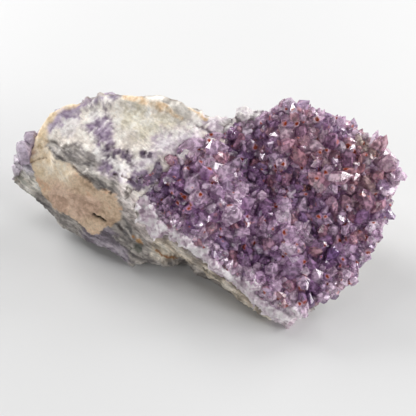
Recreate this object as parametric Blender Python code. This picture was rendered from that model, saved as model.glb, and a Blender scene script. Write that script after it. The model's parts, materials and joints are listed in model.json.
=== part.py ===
"""Amethyst specimen: a hand-sized piece of vein quartz and buff host rock that carries a druse.

Frame: +X runs along the specimen's length, +Z is up, and the origin is the middle of the flat
resting face. Lengths are written in millimetres and turned to metres by MM.
"""

import math
import random

import bmesh
import bpy
from mathutils import Matrix, Vector, noise

MM = 0.001

# Driving dimensions, in millimetres
ROCK_VOXEL = 1.5          # grain at which the masses are merged before they are broken into facets
ROCK_FACETS = 1400        # triangles left on the whole rough stone
CRUST_THICKNESS = 5.5     # druse layer, from its root to the level that the crystals stand on
BACK_CRUST_THICKNESS = 3.4
CONTACT_GAP = 0.3         # clearance kept between the crusts and the rock
TOP_GRID, ROOT_GRID = 5.0, 7.0    # spacing of the surfaces that part the druse from air and from rock
SKY = 80.0                # a height above everything

# The level of the druse: a plane that falls towards the front, with humps and hollows on it
DRUSE_LEVEL = 29.6
DRUSE_SLOPE_X = 0.035
DRUSE_SLOPE_Y = 0.695
DRUSE_LUMPS = (           # x, y, height, radius
    (8.0, 19.5, -3.8, 8.0),      # sag where the far edge meets the quartz
    (16.0, 23.0, -2.4, 6.0),     # dip in the far edge
    (-2.0, -6.0, 3.6, 9.0),      # hump beside the left corner
    (8.0, -3.0, 2.4, 6.0),       # its right shoulder
    (-16.0, 0.0, -2.2, 7.0),     # hollow at the left corner
    (12.0, 11.0, -3.6, 7.0),     # head of the long valley
    (19.0, 3.0, -4.6, 7.5),      # middle of the long valley
    (33.0, -11.0, -4.2, 6.5),    # foot of the long valley
    (26.0, -12.5, 2.6, 5.0),     # knob between the valley and the pit
    (10.0, -15.0, -3.4, 5.5),    # pit behind the front rim
    (40.0, 3.0, 1.6, 9.0),       # right wall
    (31.0, -22.0, 1.8, 6.0),     # swell above the front point
    (30.0, 16.0, 1.8, 8.0),      # far crest
)

# Where the druse gives way to bare quartz, which lies to the left of this line
DRUSE_EDGE = (
    (-27, -40), (-26.5, -2), (-25, 3), (-21, 5.5), (-15.5, 7), (-9, 10.5), (-1, 14.5), (4, 17), (6.5, 21), (8, 40),
)
EDGE_STEEPNESS = 1.4      # rise over run where the druse climbs out onto the quartz
ROOT_STEEPNESS = 2.1      # the same for its root, which meets its surface at the edge
EDGE_SETBACK = 3.2        # how far the root of the druse lies behind its lip

# Corners of the masses that make the rough stone: x, y, z
LEFT_BLOCK = (
    (-41, 28, 42), (-30, 25.5, 46), (-14, 24, 47), (-4, 21, 44), (6, 21.5, 40),    # far ridge
    (-49, 24.5, 40), (-54.5, 22, 37), (-57, 16, 33.5),                             # left shoulder
    (-65, 20, 25), (-67, 14, 19), (-63, 12.5, 12),                                 # left end
    (-48, 9.5, 34), (-37.5, 1, 33), (-26.5, -0.5, 32.5), (-18, -8, 27),            # front ridge
    (-53, 6.5, 8), (-46, -0.5, 4.5), (-37, -6.5, 4), (-26, -11, 4), (-13, -15, 7), # front foot
    (-50, 14, 1), (-40, 5, -2), (-26, -3, -2), (-8, -8, -2),                       # underside
    (-4, 16, -2), (-28, 21, -2), (-46, 20, 0.5),
    (-40, 32, 24), (-12, 31, 26), (-57, 27, 18),                                   # back
)
PLATE_OUTLINE = (         # x, y round the druse block, seen from above
    (7, 19), (14, 21), (22, 20.5), (30, 19.5), (39, 17), (47, 13), (55.5, 10.5), (60.5, 7),
    (58.5, -2), (55, -11), (49.5, -19), (42, -25.5), (34, -30.5), (26, -35),
    (15, -29.5), (5.5, -23.5), (-4, -18), (-12, -13), (-18, -7), (-27, 1),
)
FRONT_RIM = PLATE_OUTLINE[13:19]                  # the broken edge along the front left
PLATE_HEADROOM = 9.0      # stone above the druse's plane, which the druse's surface then cuts away
PLATE_RIM = 6.5           # height of the broken edge below the druse's plane
PLATE_UNDERSIDE = (       # x, y, z of the druse block below its rim
    (-8, -8, -2), (10, -12, -3), (24, -18, -2), (35, -15, -2), (42, -4, -1), (36, 9, -1),
    (14, 15, -2), (-4, 12, -3), (8, 27, 22), (28, 25, 26), (46, 16, 22), (55, 5, 18), (52, -11, 12), (42, -21, 5),
)

# Relief of the rough stone, in millimetres
LUMP_SIZE, LUMP_HEIGHT = 17.0, 1.5            # swells
CHIP_SIZE, CHIP_HEIGHT, CHIP_LEVEL = 7.5, 2.0, 0.35
BED_SPACING, BED_HEIGHT = 5.2, 1.1            # ledges of the banded quartz along the front
BED_WAVE_SIZE, BED_WAVE = 11.0, 0.35          # size of the waves in those ledges, and height in beds
BED_DIRECTION = Vector((0.35, 0.55, 0.76))    # across the beds

# The opening in the buff rock on the front, and the parting above it
SLIT = ((-34.5, -6.0, 15.2), (-30.8, -7.4, 13.8))
SLIT_WIDTH, SLIT_DEPTH = 1.3, 5.0
PARTING = ((-49.0, 6.5, 29.1), (-42.0, 0.5, 26.1), (-35.0, -3.5, 23.1), (-30.0, -5.5, 20.1))
PARTING_WIDTH, PARTING_DEPTH = 1.1, 3.0
CREVICE_INWARDS = Vector((0.15, 1.0, -0.25)).normalized()
CREVICE_TAPER = 0.35      # share of its width that a crevice keeps at its ends

# The smaller crust, over the left end and the back of the left block
BACK_CRUST_OUTLINE = (    # x, y seen from above, and the height of its lower edge there
    (-75, 14, 18), (-59.5, 16, 18), (-56.5, 22, 15), (-50, 26, 12), (-39, 28.2, 12),
    (-24, 27.5, 22), (-16, 30, 34), (-16, 46, 34), (-40, 50, 10), (-75, 50, 10),
)

# Crystal habit: a six-sided point, on a short six-sided prism where the crystal stands free
POINT_ANGLE = math.radians(38.2)              # between the point's faces and the crystal's axis
CRYSTAL_SPACING = 0.84                        # distance between neighbours over their radii added
UPRIGHT = 0.35                                # how much crystals lean from the surface normal to upright
DRUSE_CRYSTALS = {"seed": 11, "tries": 6000, "radius": (1.8, 3.6, 2.6), "lean": 0.2, "prism": 0.22}
BACK_CRYSTALS = {"seed": 5, "tries": 600, "radius": (2.4, 4.2, 3.2), "lean": 0.15, "prism": 0.4}
PRISM_HEIGHT = (0.2, 0.8)                     # height of a free prism in crystal radii
PRISM_ROOT, POINT_ROOT = 1.2, 0.6             # depth to which prisms and bare points reach in
EDGE_CLEARANCE, RIM_CLEARANCE = 1.2, 2.4      # bare strips beside the druse's edge and its front rim
ROOT_CLEARANCE = 3.2                          # lowest crystals above the druse's root
BACK_CRYSTAL_FOOT = 15.0                      # height of the lowest crystals of the back crust
BACK_CRUST_FACES = Vector((-0.4, 0.7, 0.5))   # direction that the back crust faces

# Finish of each piece: sRGB colour 0 to 255, roughness, metallic
FINISHES = {
    "matrix_rock": ((176, 163, 150), 0.8, 0.0),
    "amethyst_druse": ((120, 92, 118), 0.2, 0.0),
    "amethyst_back_crust": ((178, 163, 182), 0.3, 0.0),
}


def mm(point):
    """A point in millimetres as a vector in metres."""
    return Vector(point) * MM


# Objects and modifiers

def clear_scene():
    for obj in list(bpy.data.objects):
        bpy.data.objects.remove(obj)


def new_object(name, bm):
    """An object from a bmesh, which is freed."""
    mesh = bpy.data.meshes.new(name)
    bm.to_mesh(mesh)
    bm.free()
    obj = bpy.data.objects.new(name, mesh)
    bpy.context.scene.collection.objects.link(obj)
    return obj


def hide_helper(obj):
    obj.hide_render = True
    obj.display_type = "WIRE"
    return obj


def copy_of(obj, name):
    twin = bpy.data.objects.new(name, obj.data.copy())
    bpy.context.scene.collection.objects.link(twin)
    return twin


def bake_modifiers(obj):
    """Replaces the object's mesh by what its modifiers make of it."""
    bpy.context.view_layer.update()
    graph = bpy.context.evaluated_depsgraph_get()
    baked = bpy.data.meshes.new_from_object(obj.evaluated_get(graph))
    obj.modifiers.clear()
    obj.data = baked
    return obj


def boolean(obj, other, operation, use_self=False):
    modifier = obj.modifiers.new(operation.title(), "BOOLEAN")
    modifier.operation = operation
    modifier.object = other
    modifier.use_self = use_self
    return bake_modifiers(obj)


def remesh(obj, voxel):
    modifier = obj.modifiers.new("Merge", "REMESH")
    modifier.mode = "VOXEL"
    modifier.voxel_size = voxel * MM
    return bake_modifiers(obj)


def decimate(obj, triangles):
    modifier = obj.modifiers.new("Facets", "DECIMATE")
    obj.data.calc_loop_triangles()
    modifier.ratio = triangles / len(obj.data.loop_triangles)
    modifier.use_collapse_triangulate = True
    return bake_modifiers(obj)


def keep_largest(obj):
    """Drops the slivers that a cut has parted from an object's main body."""
    bm = bmesh.new()
    bm.from_mesh(obj.data)
    unseen = set(bm.verts)
    bodies = []
    while unseen:
        body, edge_of_search = set(), {unseen.pop()}
        while edge_of_search:
            body |= edge_of_search
            reached = {e.other_vert(v) for v in edge_of_search for e in v.link_edges}
            edge_of_search = reached - body
        unseen -= body
        bodies.append(body)
    largest = max(bodies, key=len)
    bmesh.ops.delete(bm, geom=[v for v in bm.verts if v not in largest], context="VERTS")
    bm.to_mesh(obj.data)
    bm.free()


def extruded(name, bm, height):
    """The closed block between the bmesh's open surface and a height."""
    grown = bmesh.ops.extrude_face_region(bm, geom=list(bm.faces))
    for vert in (v for v in grown["geom"] if isinstance(v, bmesh.types.BMVert)):
        vert.co.z = height * MM
    bmesh.ops.triangulate(bm, faces=bm.faces)
    bmesh.ops.recalc_face_normals(bm, faces=bm.faces)
    return hide_helper(new_object(name, bm))


def hull(name, corners):
    """The convex stone with these corners."""
    bm = bmesh.new()
    for corner in corners:
        bm.verts.new(mm(corner))
    made = bmesh.ops.convex_hull(bm, input=bm.verts)
    spare = {v for v in made["geom_interior"] + made["geom_unused"] if isinstance(v, bmesh.types.BMVert)}
    bmesh.ops.delete(bm, geom=list(spare), context="VERTS")
    bmesh.ops.recalc_face_normals(bm, faces=bm.faces)
    return hide_helper(new_object(name, bm))


def box(name, low, high):
    bm = bmesh.new()
    bmesh.ops.create_cube(bm, size=1.0)
    bmesh.ops.scale(bm, vec=mm(high) - mm(low), verts=bm.verts)
    bmesh.ops.translate(bm, vec=(mm(low) + mm(high)) / 2, verts=bm.verts)
    return hide_helper(new_object(name, bm))


# The druse's surface and root, as heights in millimetres over a place in millimetres

def druse_plane(x, y):
    return DRUSE_LEVEL + DRUSE_SLOPE_X * x + DRUSE_SLOPE_Y * y


def druse_level(x, y):
    height = druse_plane(x, y)
    for lump_x, lump_y, rise, radius in DRUSE_LUMPS:
        away = ((x - lump_x) ** 2 + (y - lump_y) ** 2) / radius ** 2
        height += rise * math.exp(-away)
    return height


def beyond(edge, x, y):
    """How far a place lies to the left of an edge that is followed from its first point to its last."""
    spot = Vector((x, y))
    nearest, side = None, 1.0
    for start, end in zip(edge, edge[1:]):
        a, b = Vector(start), Vector(end)
        along = min(1.0, max(0.0, (spot - a).dot(b - a) / (b - a).length_squared))
        offset = spot - a.lerp(b, along)
        if nearest is None or offset.length < nearest:
            nearest = offset.length
            side = 1.0 if (b - a).x * offset.y - (b - a).y * offset.x > 0 else -1.0
    return side * nearest


def druse_top(x, y):
    return druse_level(x, y) + max(0.0, beyond(DRUSE_EDGE, x, y)) * EDGE_STEEPNESS


def druse_root(x, y):
    rise = max(0.0, beyond(DRUSE_EDGE, x, y) + EDGE_SETBACK) * ROOT_STEEPNESS
    return druse_level(x, y) - CRUST_THICKNESS + rise


def rock_top(x, y):
    return druse_root(x, y) - CONTACT_GAP


def block_above(name, height_at, spacing):
    """Everything above a surface, as a closed block."""
    low_x, high_x, low_y, high_y = -80.0, 80.0, -55.0, 50.0
    bm = bmesh.new()
    columns = round((high_x - low_x) / spacing)
    rows = round((high_y - low_y) / spacing)
    bmesh.ops.create_grid(bm, x_segments=columns, y_segments=rows, size=0.5)
    for vert in bm.verts:
        x = low_x + (vert.co.x + 0.5) * (high_x - low_x)
        y = low_y + (vert.co.y + 0.5) * (high_y - low_y)
        vert.co = mm((x, y, min(height_at(x, y), SKY - 5)))
    return extruded(name, bm, SKY)


# The rough stone

def plate_corners():
    """The druse block: its outline at the headroom and at the foot of its rim, and its underside."""
    corners = list(PLATE_UNDERSIDE)
    for x, y in PLATE_OUTLINE:
        corners.append((x, y, druse_plane(x, y) + PLATE_HEADROOM))
        corners.append((x, y, druse_plane(x, y) - PLATE_RIM))
    return corners


def relief(point, normal):
    """Offset along the normal at a point, both in millimetres: swells, chipped hollows and ledges."""
    lumps = noise.noise(point / LUMP_SIZE) * LUMP_HEIGHT
    cells = noise.voronoi(point / CHIP_SIZE)[0]
    chips = (cells[1] - cells[0] - CHIP_LEVEL) * CHIP_HEIGHT
    layer = point.dot(BED_DIRECTION) / BED_SPACING + BED_WAVE * noise.noise(point / BED_WAVE_SIZE)
    frontal = max(0.0, 0.2 - normal.y)
    ledges = (layer % 1.0 - 0.5) * BED_HEIGHT * frontal
    return lumps + chips + ledges


def roughen(obj):
    mesh = obj.data
    moved = [v.co + v.normal * relief(v.co / MM, v.normal) * MM for v in mesh.vertices]
    for vert, place in zip(mesh.vertices, moved):
        vert.co = place
    mesh.update()


def crevice(name, route, width, depth):
    """A cutter for an open parting: a wedge that follows a route on the front and leans inwards."""
    bm = bmesh.new()
    rings = []
    for index, spot in enumerate(route):
        taper = CREVICE_TAPER if index in (0, len(route) - 1) else 1.0
        mouth = Vector(spot) - CREVICE_INWARDS * depth
        root = Vector(spot) + CREVICE_INWARDS * depth
        lift = Vector((0, 0, width * taper))
        rings.append([bm.verts.new(mm(corner)) for corner in (mouth - lift, mouth + lift, root)])
    for first, second in zip(rings, rings[1:]):
        for side in range(3):
            turn = (side + 1) % 3
            bm.faces.new((first[side], first[turn], second[turn], second[side]))
    bm.faces.new(rings[0])
    bm.faces.new(rings[-1])
    bmesh.ops.recalc_face_normals(bm, faces=bm.faces)
    return hide_helper(new_object(name, bm))


def rough_stone():
    """The whole stone before the crusts are parted from it, ground flat at z = 0 where it rests."""
    stone = hull("matrix_rock", LEFT_BLOCK)
    boolean(stone, hull("plate", plate_corners()), "UNION")
    remesh(stone, ROCK_VOXEL)
    roughen(stone)
    decimate(stone, ROCK_FACETS)
    boolean(stone, box("below", (-90, -60, -20), (90, 60, 0)), "DIFFERENCE")
    boolean(stone, crevice("slit", SLIT, SLIT_WIDTH, SLIT_DEPTH), "DIFFERENCE")
    boolean(stone, crevice("parting", PARTING, PARTING_WIDTH, PARTING_DEPTH), "DIFFERENCE")
    return boolean(stone, block_above("above_druse", druse_top, TOP_GRID), "DIFFERENCE")


# The crystals

def add_crystal(bm, place, axis, radius, prism, spin, gap=0.0):
    """Adds one crystal at a place: its point, standing on a prism of this height unless that is 0.

    A gap makes it larger by that much all round, as the socket that it leaves in the rock.
    """
    turn = axis.to_track_quat("Z", "Y").to_matrix().to_4x4() @ Matrix.Rotation(spin, 4, "Z")
    spread = math.tan(POINT_ANGLE) / math.cos(math.pi / 6)
    radius += gap / (math.cos(POINT_ANGLE) * math.cos(math.pi / 6))
    root = (PRISM_ROOT if prism else POINT_ROOT) + gap
    base = radius if prism else radius + root * spread
    height = prism + root if prism else base / spread
    middle = place + axis * (height / 2 - root)
    made = bmesh.ops.create_cone(
        bm, cap_ends=True, cap_tris=False, segments=6, radius1=base * MM,
        radius2=base * MM if prism else 0.0, depth=height * MM, matrix=Matrix.Translation(mm(middle)) @ turn,
    )
    if prism:
        caps = {face for vert in made["verts"] for face in vert.link_faces if len(face.verts) == 6}
        top = max(caps, key=lambda face: face.calc_center_median().dot(axis))
        bmesh.ops.poke(bm, faces=[top], offset=radius / spread * MM)


def scatter(core, crystals, allowed):
    """Places on a crust's surface with their normals and radii, in millimetres, none too near another."""
    chance = random.Random(crystals["seed"])
    low, high, usual = crystals["radius"]
    mesh = core.data
    mesh.calc_loop_triangles()
    triangles = [t for t in mesh.loop_triangles if allowed(t.center / MM, t.normal)]
    found = []
    for triangle in chance.choices(triangles, weights=[t.area for t in triangles], k=crystals["tries"]):
        a, b, c = (mesh.vertices[i].co / MM for i in triangle.vertices)
        u, v = chance.random(), chance.random()
        if u + v > 1:
            u, v = 1 - u, 1 - v
        place = a + (b - a) * u + (c - a) * v
        radius = chance.triangular(low, high, usual)
        clear = ((place - other).length > (radius + size) * CRYSTAL_SPACING for other, _, size in found)
        if all(clear):
            found.append((place, triangle.normal.copy(), radius))
    return found


def grow(core, rock, crystals, allowed):
    """Makes a crust of its core: a crystal stands on each place, all one solid, and the rock fits it."""
    chance = random.Random(crystals["seed"] + 100)
    points, sockets = bmesh.new(), bmesh.new()
    for place, normal, radius in scatter(core, crystals, allowed):
        tilt = Vector(chance.gauss(0, crystals["lean"]) for _ in range(3))
        axis = (normal + tilt + Vector((0, 0, UPRIGHT))).normalized()
        free = chance.random() < crystals["prism"]
        prism = radius * chance.uniform(*PRISM_HEIGHT) if free else 0.0
        spin = chance.uniform(0, math.pi / 3)
        add_crystal(points, place, axis, radius, prism, spin)
        add_crystal(sockets, place, axis, radius, prism, spin, CONTACT_GAP)
    boolean(core, hide_helper(new_object(core.name + "_points", points)), "UNION", use_self=True)
    boolean(rock, hide_helper(new_object(core.name + "_sockets", sockets)), "DIFFERENCE", use_self=True)
    keep_largest(core)
    keep_largest(rock)


def on_druse(place, normal):
    """Where crystals stand on the druse: its surface and far sides, not its root or broken edges."""
    broken = normal.z < 0.5 and (normal.y < -0.15 or normal.x < -0.3)
    above_root = place.z > druse_root(place.x, place.y) + ROOT_CLEARANCE
    off_edge = beyond(DRUSE_EDGE, place.x, place.y) < -EDGE_CLEARANCE
    off_rim = beyond(FRONT_RIM, place.x, place.y) < -RIM_CLEARANCE
    return normal.z > -0.2 and above_root and off_edge and off_rim and not broken


def on_back_crust(place, normal):
    """Where crystals stand on the back crust: the outside of the stone, not the bed or the cut edges."""
    return normal.dot(BACK_CRUST_FACES) > 0.1 and place.z > BACK_CRYSTAL_FOOT


# The crusts and the rock that they are parted from

def back_crust_block(name, gap=0.0):
    """The space of the back crust: a block beyond its outline, hollowed by the left block drawn in."""
    bm = bmesh.new()
    corners = [(x + gap, y - gap, z - gap) for x, y, z in BACK_CRUST_OUTLINE]
    bm.faces.new([bm.verts.new(mm(corner)) for corner in corners])
    block = extruded(name, bm, SKY)
    low = Vector(min(corner[axis] for corner in LEFT_BLOCK) for axis in range(3))
    high = Vector(max(corner[axis] for corner in LEFT_BLOCK) for axis in range(3))
    middle, half = (low + high) / 2, (high - low) / 2
    depth = BACK_CRUST_THICKNESS + gap
    shrink = Vector(1 - depth / half[axis] for axis in range(3))
    drawn_in = [middle + (Vector(corner) - middle) * shrink for corner in LEFT_BLOCK]
    return boolean(block, hull(name + "_bed", drawn_in), "DIFFERENCE")


def show(obj):
    """Ends an object's work as a helper, and gives it its own material."""
    colour, roughness, metallic = FINISHES[obj.name]
    material = bpy.data.materials.new(obj.name)
    material.use_nodes = True
    shader = material.node_tree.nodes["Principled BSDF"]
    shader.inputs["Base Color"].default_value = [(c / 255) ** 2.2 for c in colour] + [1.0]
    shader.inputs["Roughness"].default_value = roughness
    shader.inputs["Metallic"].default_value = metallic
    obj.data.materials.clear()
    obj.data.materials.append(material)
    obj.hide_render = False
    obj.display_type = "TEXTURED"


clear_scene()
rock = rough_stone()
druse = copy_of(rock, "amethyst_druse")
back_crust = copy_of(rock, "amethyst_back_crust")
boolean(druse, block_above("druse_space", druse_root, ROOT_GRID), "INTERSECT")
boolean(back_crust, back_crust_block("back_crust_space"), "INTERSECT")
boolean(rock, block_above("druse_bed", rock_top, ROOT_GRID), "DIFFERENCE")
boolean(rock, back_crust_block("back_crust_bed", CONTACT_GAP), "DIFFERENCE")
grow(druse, rock, DRUSE_CRYSTALS, on_druse)
grow(back_crust, rock, BACK_CRYSTALS, on_back_crust)
for piece in (rock, druse, back_crust):
    show(piece)
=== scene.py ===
import json
import math
import random

import bmesh
import bpy
import numpy as np
from mathutils import Matrix, Vector, noise
from mathutils.bvhtree import BVHTree

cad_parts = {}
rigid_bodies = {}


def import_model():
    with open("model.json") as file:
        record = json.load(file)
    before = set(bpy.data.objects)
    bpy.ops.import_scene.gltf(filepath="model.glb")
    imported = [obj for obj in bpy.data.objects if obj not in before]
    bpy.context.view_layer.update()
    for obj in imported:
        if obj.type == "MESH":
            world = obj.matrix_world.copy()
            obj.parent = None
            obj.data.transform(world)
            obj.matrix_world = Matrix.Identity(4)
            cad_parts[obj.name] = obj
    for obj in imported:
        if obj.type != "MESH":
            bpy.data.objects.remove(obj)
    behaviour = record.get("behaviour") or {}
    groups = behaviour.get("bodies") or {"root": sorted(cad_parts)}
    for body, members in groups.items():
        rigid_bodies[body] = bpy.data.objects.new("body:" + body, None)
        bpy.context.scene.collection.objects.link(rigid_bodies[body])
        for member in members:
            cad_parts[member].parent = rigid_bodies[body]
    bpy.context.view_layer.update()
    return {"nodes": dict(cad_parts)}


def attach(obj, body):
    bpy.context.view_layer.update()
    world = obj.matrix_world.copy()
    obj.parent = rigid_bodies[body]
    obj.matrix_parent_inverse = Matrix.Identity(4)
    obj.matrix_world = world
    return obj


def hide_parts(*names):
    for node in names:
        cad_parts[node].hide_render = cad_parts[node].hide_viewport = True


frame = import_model()
mm = 0.001


# Small tools

def hexColour(code):
    # sRGB hex to the linear colour that shaders want
    channels = [int(code[i:i + 2], 16) / 255 for i in (1, 3, 5)]
    return [c / 12.92 if c <= 0.04045 else ((c + 0.055) / 1.055) ** 2.4 for c in channels] + [1.0]


def addNode(tree, kind, inputs=None, **settings):
    # one node with its settings; an input takes a value, or an output of another node
    node = tree.nodes.new(kind)
    for name, value in settings.items():
        setattr(node, name, value)
    for key, value in (inputs or {}).items():
        socket = node.inputs[key]
        if isinstance(value, bpy.types.NodeSocket):
            tree.links.new(value, socket)
        else:
            socket.default_value = value
    return node


def newMaterial(name):
    material = bpy.data.materials.new(name)
    material.use_nodes = True
    material.node_tree.nodes.clear()
    return material, material.node_tree


def addObject(name, data):
    made = bpy.data.objects.new(name, data)
    bpy.context.scene.collection.objects.link(made)
    return made


def pieceFrom(nodeName, name):
    # a copy of a CAD node with its loose triangles merged
    piece = addObject(name, frame["nodes"][nodeName].data.copy())
    piece.data.materials.clear()
    bm = bmesh.new()
    bm.from_mesh(piece.data)
    bmesh.ops.remove_doubles(bm, verts=bm.verts, dist=0.002 * mm)
    bm.to_mesh(piece.data)
    bm.free()
    return piece


def applyModifiers(piece):
    # the piece's mesh as its modifiers leave it
    bpy.context.view_layer.update()
    graph = bpy.context.evaluated_depsgraph_get()
    mesh = bpy.data.meshes.new_from_object(piece.evaluated_get(graph))
    piece.modifiers.clear()
    piece.data = mesh
    mesh.name = piece.name


def remeshPiece(piece, voxel):
    modifier = piece.modifiers.new("Remesh", "REMESH")
    modifier.mode = "VOXEL"
    modifier.voxel_size = voxel * mm
    applyModifiers(piece)


def vertexArrays(mesh):
    # places in mm and normals of a mesh
    places = np.empty(len(mesh.vertices) * 3, np.float32)
    mesh.vertices.foreach_get("co", places)
    normals = np.empty(len(mesh.vertices) * 3, np.float32)
    mesh.vertex_normals.foreach_get("vector", normals)
    return places.reshape(-1, 3).astype(float) / mm, normals.reshape(-1, 3).astype(float)


def moveVertices(mesh, places):
    mesh.vertices.foreach_set("co", (places * mm).astype(np.float32).ravel())
    mesh.update()


def storeTint(mesh, colours):
    layer = mesh.attributes.new("tint", "FLOAT_COLOR", "POINT")
    layer.data.foreach_set("color", np.c_[colours, np.ones(len(colours))].astype(np.float32).ravel())


def storeValue(mesh, name, values):
    layer = mesh.attributes.new(name, "FLOAT", "POINT")
    layer.data.foreach_set("value", np.clip(values, 0, 1).astype(np.float32))


def smoothStep(value, low, high):
    t = np.clip((value - low) / (high - low), 0, 1)
    return t * t * (3 - 2 * t)


def gradient(values, codes, low=-0.4, high=0.4):
    # colours for values from low to high, evenly through the hex codes
    steps = np.linspace(low, high, len(codes))
    colours = np.array([hexColour(code)[:3] for code in codes])
    return np.stack([np.interp(values, steps, colours[:, i]) for i in range(3)], 1)


def noiseAt(places, size, seed=0.0, octaves=3):
    # fractal noise about 0, mostly -0.5 to 0.5, for places in mm
    shift = Vector((seed * 17.3, seed * -9.1, seed * 5.7))
    return np.array([noise.fractal(Vector(p) / size + shift, 1.0, 2.0, octaves) for p in places])


def chipsAt(places, size, seed=0.0):
    # a broken surface: scattered cells, each a flat facet with its own tilt and height, about 0
    shift = Vector((seed * 3.1, seed * 7.7, seed * -4.3))
    half = Vector((0.5, 0.5, 0.5))
    heights = []
    for p in places:
        spot = Vector(p) / size + shift
        middle = noise.voronoi(spot)[1][0]
        tilt = noise.cell_vector(middle) - half
        heights.append((spot - middle).dot(tilt) * 1.6 + (noise.cell(middle * 1.7) - 0.5) * 0.6)
    return np.array(heights) * size


def patchMask(places, patches, wobble, soft=0.28):
    # soft round patches: (x, y, z, radius) in mm
    mask = np.zeros(len(places))
    for x, y, z, radius in patches:
        away = np.linalg.norm(places - np.array((x, y, z)), axis=1) / radius + wobble
        mask = np.maximum(mask, 1 - smoothStep(away, 0.88 - soft, 0.88 + soft))
    return mask


def strandMask(places, route, halfWidth, wobble):
    # a soft band along a route of points in mm
    nearest = np.full(len(places), 1e9)
    for start, end in zip(route, route[1:]):
        a, b = np.array(start, float), np.array(end, float)
        along = np.clip(((places - a) @ (b - a)) / ((b - a) @ (b - a)), 0, 1)
        nearest = np.minimum(nearest, np.linalg.norm(places - (a + along[:, None] * (b - a)), axis=1))
    return 1 - smoothStep(nearest / halfWidth + wobble, 0.6, 1.2)


def regionMask(flat, outline, soft, wobble):
    # 1 inside an outline of points in mm, for places on the same plane, soft along its border
    ring = np.array(outline, float)
    inside = np.zeros(len(flat), bool)
    nearest = np.full(len(flat), 1e9)
    for a, b in zip(ring, np.roll(ring, -1, axis=0)):
        edge = b - a
        along = np.clip(((flat - a) @ edge) / (edge @ edge), 0, 1)
        nearest = np.minimum(nearest, np.linalg.norm(flat - a - along[:, None] * edge, axis=1))
        crosses = (a[1] > flat[:, 1]) != (b[1] > flat[:, 1])
        inside ^= crosses & (flat[:, 0] < a[0] + edge[0] * (flat[:, 1] - a[1]) / (edge[1] or 1e-9))
    return smoothStep(np.where(inside, nearest, -nearest) + wobble, -soft, soft)


def bedAxes(across):
    # two axes along the beds of the stone and one across them
    across = Vector(across).normalized()
    along = (Vector((1, 0, 0)) - across * across.x).normalized()
    return along, across.cross(along), across


def inBeds(places, across, coarse, medium):
    # places measured along and across the beds, which waver a little
    return places @ np.array(bedAxes(across)).T + np.stack([coarse, medium, coarse * 1.6 + medium * 0.5], 1)


def fibrePattern(tree, objectPlace, across, spacing):
    # fine fibres that run along the beds, bent over every 4 mm or so; spacing in mm
    bendEvery, bendBy = 4 * mm, 2 * mm
    warp = addNode(tree, "ShaderNodeTexNoise", {"Vector": objectPlace, "Scale": 1 / bendEvery}).outputs
    bent = addNode(tree, "ShaderNodeVectorMath", {0: warp["Color"], 1: (bendBy,) * 3, 2: objectPlace},
                   operation="MULTIPLY_ADD").outputs[0]
    spans = []
    for axis, squeeze in zip(bedAxes(across), (0.18, 0.3, 1.0)):
        span = addNode(tree, "ShaderNodeVectorMath", {0: bent, 1: tuple(axis * squeeze)},
                       operation="DOT_PRODUCT")
        spans.append(span.outputs["Value"])
    joined = addNode(tree, "ShaderNodeCombineXYZ", {0: spans[0], 1: spans[1], 2: spans[2]}).outputs[0]
    return addNode(tree, "ShaderNodeTexNoise", {
        "Vector": joined, "Scale": 1 / (spacing * mm), "Detail": 3.0, "Roughness": 0.6,
    }).outputs["Fac"]


def stonePattern(tree, across, grainSize, fibreSize):
    # what the rock and the roots share: the painted tint, where they are banded, their grain and fibres
    objectPlace = addNode(tree, "ShaderNodeTexCoord").outputs["Object"]
    tint = addNode(tree, "ShaderNodeAttribute", attribute_name="tint").outputs["Color"]
    banded = addNode(tree, "ShaderNodeAttribute", attribute_name="banded").outputs["Fac"]
    grain = addNode(tree, "ShaderNodeTexNoise", {
        "Vector": objectPlace, "Scale": 1 / (grainSize * mm), "Detail": 4.0, "Roughness": 0.65,
    }).outputs["Fac"]
    return tint, banded, grain, fibrePattern(tree, objectPlace, across, fibreSize)


# The rock: banded vein quartz with a buff slab in its left front and a white sugary cap

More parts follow.
